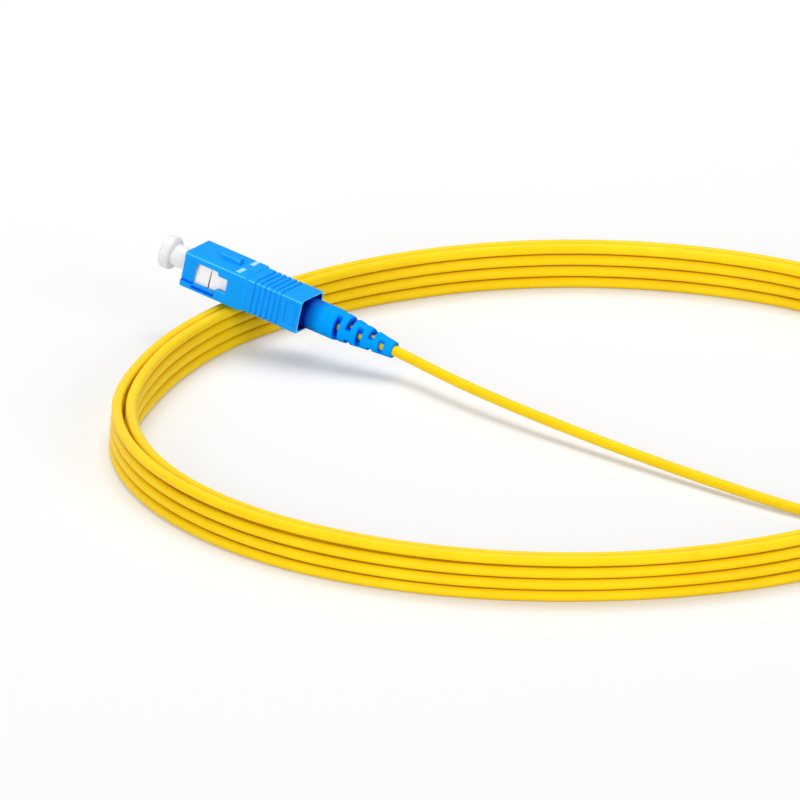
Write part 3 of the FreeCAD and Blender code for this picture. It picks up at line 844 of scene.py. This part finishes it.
# %% Sizes of the boot
BOOT_SIZES = {
    "Front": 20.8,
    "Back": 46.7,
    "Collar D": 5.9,
    "Sleeve D": 6.26,
    "Tip D": 3.3,
    "Step At": 25.1,
    "Step Run": 0.4,
    "Taper At": 33.4,
    "Taper Run": 13.3,
    "Crimp Room D": 4.8,
    "Crimp Back": 30.55,
    "Bore D": 2.2,
    "Droop": 0.25,
    "First Slot": 34.5,
    "Slot Pitch": 2.46,
    "Slot Count": 5,
    "Slot W": 1.15,
    "Slot Web": 1.7,
    "Slot Floor": 0.93,
    "Slot Twist": 7.0,
    # where the painted shade beside the grip's mouth starts, and how far it fades
    "Neck At": 27.6,
    "Neck Run": 3.4,
    "Edge": 0.16,
    "Voxel": 0.12,
}
print("boot sizes", len(BOOT_SIZES))

# %% Slots of the boot
FLOOR_BLEND = 0.1
QUARTER_TURN = 90.0


def slot_field(behind, y, z, axis_gap, size):
    """Distance to the nearest pair of round-ended slots."""
    station = ((behind - size["First Slot"]) / size["Slot Pitch"]).do("ROUND")
    station = station.clamped(0.0, size["Slot Count"] - 1.0)
    along = behind - size["First Slot"] - station * size["Slot Pitch"]
    odd = station.do("MODULO", 2.0)
    turn = ((size["Slot Twist"] + QUARTER_TURN) - odd * QUARTER_TURN).do("RADIANS")
    depth = (y * turn.do("SINE") + z * turn.do("COSINE")).do("ABSOLUTE")
    side = (y * turn.do("COSINE") - z * turn.do("SINE")).do("ABSOLUTE")
    at = size["First Slot"] + station * size["Slot Pitch"]
    radius = (size["Sleeve D"] + at.share(size["Taper At"], size["Taper Run"])
              * (size["Tip D"] - size["Sleeve D"])) / 2
    reach = (size["Slot Web"] / 2 / radius).do("ARCCOSINE") - size["Slot W"] / 2 / radius
    past_end = (axis_gap * (side.do("ARCTAN2", depth) - reach)).do("MAXIMUM", 0.0)
    stadium = (past_end * past_end + along * along).do("SQRT") - size["Slot W"] / 2
    return stadium.do("SMOOTH_MAX", size["Slot Floor"] - depth, FLOOR_BLEND)


# %% Form of the boot
HOLLOW_RUN = 0.1
END_BLEND, BORE_BLEND = 0.3, 0.08
SHADE_DEPTH = 1.2


def boot_field(tree, given):
    """Distance to the boot's surface, and the amounts of painted shade deep in a slot and near the
    grip's mouth.
    """
    size = {name: Amount(tree, given[name]) for name in BOOT_SIZES}
    position = tree.nodes.new("GeometryNodeInputPosition").outputs[0]
    xyz = add_node(tree, "ShaderNodeSeparateXYZ", Vector=position)
    x, y, z = (Amount(tree, socket) for socket in xyz.outputs)
    behind = -x
    taper = behind.share(size["Taper At"], size["Taper Run"])
    z = z + taper * taper * size["Droop"]
    axis_gap = (y * y + z * z).do("SQRT")
    outer = (size["Sleeve D"] + taper * (size["Tip D"] - size["Sleeve D"])) / 2
    collar = behind.share(size["Step At"], size["Step Run"])
    outer = outer.do("MINIMUM", (size["Collar D"] + collar * (size["Sleeve D"] - size["Collar D"])) / 2)
    ends = (size["Front"] - behind).do("MAXIMUM", behind - size["Back"])
    hollow = behind.share(size["Crimp Back"], HOLLOW_RUN)
    bore = (size["Crimp Room D"] + hollow * (size["Bore D"] - size["Crimp Room D"])) / 2
    solid = (axis_gap - outer).do("SMOOTH_MAX", ends, END_BLEND)
    solid = solid.do("SMOOTH_MAX", bore - axis_gap, BORE_BLEND)
    slots = slot_field(behind, y, z, axis_gap, size)
    # amounts of painted shade: deep in a slot, and near the grip's mouth
    shade = ((outer - axis_gap) / SHADE_DEPTH).clamped(0.0, 1.0)
    painted_neck_shade = behind.share(size["Neck At"], size["Neck Run"]) * -1.0 + 1.0
    return solid.do("SMOOTH_MAX", -slots, size["Edge"]), shade, painted_neck_shade


# %% Boot tree
BOOT_MARGIN = 0.4
FAR_OUTSIDE = -1.0
boot_tree = new_tree("slotted_boot", BOOT_SIZES)
given = boot_tree.nodes.new("NodeGroupInput").outputs
boot_distance, boot_shade, boot_neck_shade = boot_field(boot_tree, given)
front = Amount(boot_tree, given["Front"])
back = Amount(boot_tree, given["Back"])
wide = Amount(boot_tree, given["Sleeve D"]) / 2 + BOOT_MARGIN
rear = -back - BOOT_MARGIN
low = add_node(boot_tree, "ShaderNodeCombineXYZ", X=rear.socket, Y=(-wide).socket, Z=(-wide).socket)
fore = -front + BOOT_MARGIN
high = add_node(boot_tree, "ShaderNodeCombineXYZ", X=fore.socket, Y=wide.socket, Z=wide.socket)
voxel = Amount(boot_tree, given["Voxel"])
steps_along = (back - front + 2 * BOOT_MARGIN) / voxel
steps_across = wide * 2.0 / voxel
cube = add_node(
    boot_tree, "GeometryNodeVolumeCube", Density=(-boot_distance).socket, Background=FAR_OUTSIDE,
    Min=low.outputs[0], Max=high.outputs[0], Resolution_X=steps_along.socket,
    Resolution_Y=steps_across.socket, Resolution_Z=steps_across.socket)
shell = add_node(boot_tree, "GeometryNodeVolumeToMesh", Volume=cube.outputs["Volume"], Threshold=0.0)
noted = shell.outputs["Mesh"]
# the two amounts of painted shade go onto the mesh
for attribute, amount in (("painted_slot_shade", boot_shade), ("painted_neck_shade", boot_neck_shade)):
    noted = add_node(
        boot_tree, "GeometryNodeStoreNamedAttribute", Geometry=noted, Name=attribute, Value=amount.socket
    ).outputs["Geometry"]
end_tree(boot_tree, noted, given)
boot_mesh = grown_mesh("soft_boot", boot_tree, finishes["boot_blue"])
print("boot faces", len(boot_mesh.polygons))

# %% Boots in place
for end in "ab":
    mesh = boot_mesh.copy()
    mesh.transform(in_place[end])
    boot = bpy.data.objects.new("soft_boot_" + end, mesh)
    scene.collection.objects.link(boot)
    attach(boot, "cord")
    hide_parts("boot_" + end)
    print("placed", boot.name)

# %% [markdown]
# ## The spring
# Behind each ferrule a small compression spring keeps it pressed forward. A spring follows a rule
# too: a spiral swept by a round wire. A Screw modifier could sweep it, but sets all its turns equally
# far apart. Geometry Nodes draw the spiral here, and the first and last turns lie closer together, as
# on a real spring whose ends are ground flat.

# %% Spring tree
SPRING_SIZES = {"Turns": 6.0, "Coil D": 3.95, "Length": 5.1, "Wire D": 0.45, "Closed": 0.16}
STEPS_A_TURN = 36
WIRE_SIDES = 10
spring_tree = new_tree("closed_spring", SPRING_SIZES)
given = spring_tree.nodes.new("NodeGroupInput").outputs
size = {name: Amount(spring_tree, given[name]) for name in SPRING_SIZES}
radius = (size["Coil D"] / 2).socket
spiral = add_node(
    spring_tree, "GeometryNodeCurveSpiral", Resolution=STEPS_A_TURN, Rotations=given["Turns"],
    Start_Radius=radius, End_Radius=radius, Height=given["Length"])
along = Amount(spring_tree, spring_tree.nodes.new("GeometryNodeSplineParameter").outputs["Factor"])
wave = (along * (2 * math.pi)).do("SINE") * size["Closed"] / 2
lift = add_node(spring_tree, "ShaderNodeCombineXYZ", Z=(-wave * size["Length"]).socket)
moved = add_node(
    spring_tree, "GeometryNodeSetPosition", Geometry=spiral.outputs["Curve"], Offset=lift.outputs[0])
wire = add_node(
    spring_tree, "GeometryNodeCurvePrimitiveCircle", Resolution=WIRE_SIDES,
    Radius=(size["Wire D"] / 2).socket)
swept = add_node(
    spring_tree, "GeometryNodeCurveToMesh", Curve=moved.outputs["Geometry"],
    Profile_Curve=wire.outputs["Curve"], Fill_Caps=True)
end_tree(spring_tree, swept.outputs["Mesh"], given)
spring_mesh = grown_mesh("closed_spring", spring_tree, finishes["spring_steel"])
print("spring faces", len(spring_mesh.polygons))

# %% Springs in place
SPRING_BACK = 14.5
SPRING_SEAT = 0.25
for end in "ab":
    mesh = spring_mesh.copy()
    stand = Matrix.Translation((-SPRING_BACK + SPRING_SEAT, 0, 0)) @ Matrix.Rotation(math.pi / 2, 4, "Y")
    mesh.transform(in_place[end] @ stand)
    spring = bpy.data.objects.new("closed_spring_" + end, mesh)
    scene.collection.objects.link(spring)
    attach(spring, "cord")
    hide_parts("spring_" + end)
    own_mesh(spring)
    print("placed", spring.name)

# %% [markdown]
# ## Marks on the grip
# Two pale marks are printed on top of the grip behind its key. They show how far the plug has gone
# into an adapter. A material could draw them, but a thin plate on the plastic keeps a crisp edge, and
# print has almost no thickness.

# %% Printed marks
MARK_LIFT = 0.015
MARK_PLATE = ((11.35, 12.25), (1.3, 3.95), (GRIP_TOP - MARK_LIFT, GRIP_TOP + MARK_LIFT))


def printed_marks(end):
    """Two thin plates on the top of one grip, as one piece."""
    mesh = box_mesh(both_sides(MARK_PLATE), end)
    mesh.name = "printed_marks_" + end
    mesh.materials.append(finishes["mark_pale"])
    marks = bpy.data.objects.new("printed_marks_" + end, mesh)
    scene.collection.objects.link(marks)
    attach(marks, "grip_" + end)
    return marks


marks = {end: printed_marks(end) for end in "ab"}
print("printed marks", len(marks))

# %% [markdown]
# ## The far end's pieces
# The far end's pieces are gathered in one list, because on the real thing the second connector is the
# end of the cord.

far_pieces = [rounded[name, "b"] for name in MOULDED]
far_pieces += [bpy.data.objects["soft_boot_b"], bpy.data.objects["closed_spring_b"], marks["b"]]

# %% [markdown]
# ## Floor and light
# A product shot stands on a white sweep under big soft lamps. The floor here takes the shadows as a
# plain diffuse sheet, and adds a little glow of its own only for rays that the camera, a gloss or a
# clear piece looks along, so that the empty floor comes out white without more light on the cord.
# The world does the same. Two lamps light the front from both sides. A third hangs above and a
# little behind, and casts a soft shadow to the front.

# %% Floor
FLOOR_HALF = 3.0
FLOOR_GLOW = 0.22
FLOOR_WHITE = (0.70, 0.70, 0.70, 1.0)


def seen_ray(tree):
    """1 for camera, glossy and transmitted rays, 0 for the rest."""
    path = tree.nodes.new("ShaderNodeLightPath").outputs
    seen = Amount(tree, path["Is Camera Ray"])
    for kind in ("Is Glossy Ray", "Is Transmission Ray"):
        seen = seen.do("MAXIMUM", Amount(tree, path[kind]))
    return seen


floor_finish = bpy.data.materials.new("white_floor")
floor_finish.use_nodes = True
tree = floor_finish.node_tree
tree.nodes.remove(tree.nodes["Principled BSDF"])
paper = add_node(tree, "ShaderNodeBsdfDiffuse", Color=FLOOR_WHITE)
glow = add_node(tree, "ShaderNodeEmission", Strength=(seen_ray(tree) * FLOOR_GLOW).socket)
both = tree.nodes.new("ShaderNodeAddShader")
tree.links.new(paper.outputs[0], both.inputs[0])
tree.links.new(glow.outputs[0], both.inputs[1])
tree.links.new(both.outputs[0], tree.nodes["Material Output"].inputs["Surface"])

floor_mesh = bpy.data.meshes.new("floor")
corners = [(x * FLOOR_HALF, y * FLOOR_HALF, 0) for x, y in ((-1, -1), (1, -1), (1, 1), (-1, 1))]
floor_mesh.from_pydata(corners, [], [(0, 1, 2, 3)])
floor_mesh.materials.append(floor_finish)
floor = bpy.data.objects.new("floor", floor_mesh)
scene.collection.objects.link(floor)
print("floor", 2 * FLOOR_HALF, "m wide")

# %% World
WORLD_LIGHT = 0.27
WORLD_WHITE = (1.0, 1.0, 1.0, 1.0)
world = bpy.data.worlds.new("white_studio")
scene.world = world
world.use_nodes = True
tree = world.node_tree
sky = tree.nodes["Background"]
sky.inputs["Color"].default_value = WORLD_WHITE
strength = seen_ray(tree) * (1.0 - WORLD_LIGHT) + WORLD_LIGHT
link_or_set(tree, sky.inputs["Strength"], strength.socket)
print("world light", WORLD_LIGHT)

# %% Lamps
LAMPS = {
    "front_softbox": ((-1.4, -2.1, 0.75), 1.8, 39.0),
    "right_softbox": ((1.6, -1.9, 0.8), 1.4, 27.0),
    "top_softbox": ((-0.1, 0.50, 1.42), 1.05, 16.0),
}
for name, (spot, side, power) in LAMPS.items():
    lamp_data = bpy.data.lights.new(name, "AREA")
    lamp_data.shape = "SQUARE"
    lamp_data.size = side
    lamp_data.energy = power
    lamp = bpy.data.objects.new(name, lamp_data)
    lamp.location = spot
    lamp.rotation_mode = "QUATERNION"
    lamp.rotation_quaternion = (-Vector(spot)).to_track_quat("-Z", "Y")
    scene.collection.objects.link(lamp)
print("lamps", len(LAMPS))

# %% [markdown]
# ## Last update
# The view layer is brought up to date.

bpy.context.view_layer.update()
